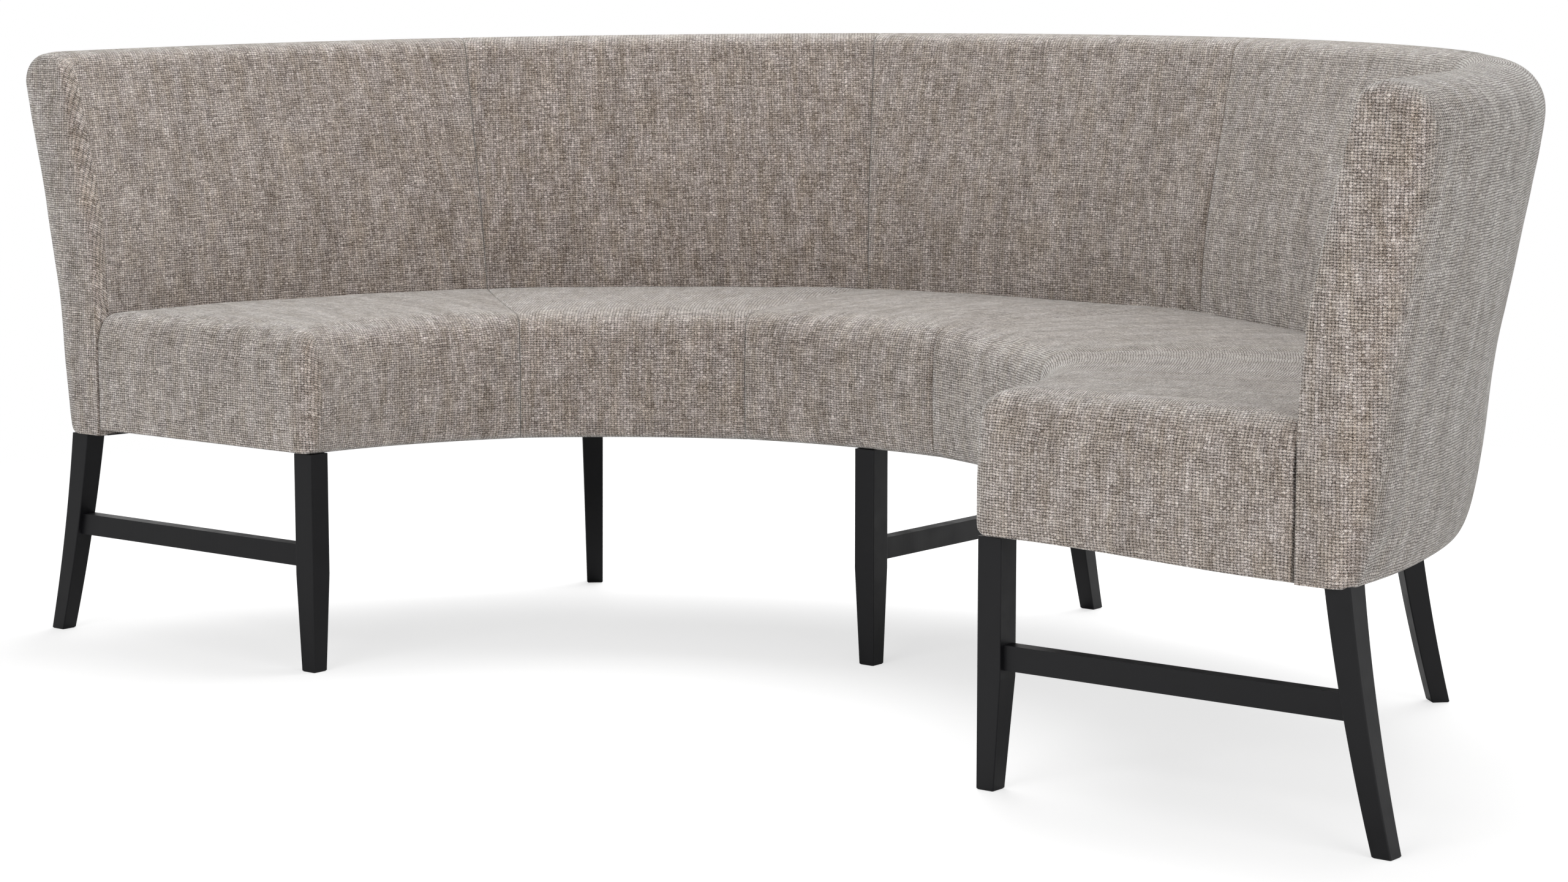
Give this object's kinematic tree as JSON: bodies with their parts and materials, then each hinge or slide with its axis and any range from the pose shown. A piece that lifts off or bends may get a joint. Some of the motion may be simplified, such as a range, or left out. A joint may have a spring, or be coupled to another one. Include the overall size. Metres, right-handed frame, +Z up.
{
  "type": "upholstered banquette bench",
  "caption": "Half-round upholstered dining bench with an outward-leaning back, sewn panels and slim tapered black wooden legs.",
  "frame": {"origin": "middle of the floor area under the bench, on the floor", "axes": "+X from the left end to the right end as seen from the open side, +Y towards the middle of the back, +Z up"},
  "size_m": [2.2696, 1.1396, 0.866],
  "materials": {
    "cover_fabric": "soft two-tone basket weave in taupe",
    "foam": "soft open foam",
    "black_wood": "black satin paint",
    "frame_timber": "plain sawn softwood",
    "plywood": "plain sheet",
    "steel": "zinc plated",
    "bottom_cloth": "thin black non-woven cloth"
  },
  "bodies": {
    "root": {"leg_front_left": "black_wood", "leg_front_middle": "black_wood", "leg_front_right": "black_wood", "leg_end_left": "black_wood", "leg_end_right": "black_wood", "leg_back_left": "black_wood", "leg_back_middle": "black_wood", "leg_back_right": "black_wood", "stretcher_left": "black_wood", "stretcher_middle": "black_wood", "stretcher_right": "black_wood", "stretcher_dowels": "frame_timber", "seat_front_rails": "frame_timber", "seat_rear_rails": "frame_timber", "seat_rib_1": "frame_timber", "seat_rib_2": "frame_timber", "seat_rib_3": "frame_timber", "seat_rib_4": "frame_timber", "seat_rib_5": "frame_timber", "seat_rib_6": "frame_timber", "back_post_1": "frame_timber", "back_post_2": "frame_timber", "back_post_3": "frame_timber", "back_post_4": "frame_timber", "back_post_5": "frame_timber", "back_post_6": "frame_timber", "back_bottom_rails": "frame_timber", "back_top_rails": "frame_timber", "seat_deck_1": "plywood", "seat_deck_2": "plywood", "seat_deck_3": "plywood", "seat_deck_4": "plywood", "seat_deck_5": "plywood", "back_inner_boards": "plywood", "back_outer_boards": "plywood", "leg_bolts": "steel", "back_joint_bolts": "steel", "seat_foam_1": "foam", "seat_foam_2": "foam", "seat_foam_3": "foam", "seat_foam_4": "foam", "seat_foam_5": "foam", "back_foam_1": "foam", "back_foam_2": "foam", "back_foam_3": "foam", "back_foam_4": "foam", "back_foam_5": "foam", "seat_cover_1": "cover_fabric", "seat_cover_2": "cover_fabric", "seat_cover_3": "cover_fabric", "seat_cover_4": "cover_fabric", "seat_cover_5": "cover_fabric", "back_cover_1": "cover_fabric", "back_cover_2": "cover_fabric", "back_cover_3": "cover_fabric", "back_cover_4": "cover_fabric", "back_cover_5": "cover_fabric", "seat_bottom_cloth": "bottom_cloth", "back_bottom_cloth": "bottom_cloth"}
  },
  "joints": []
}
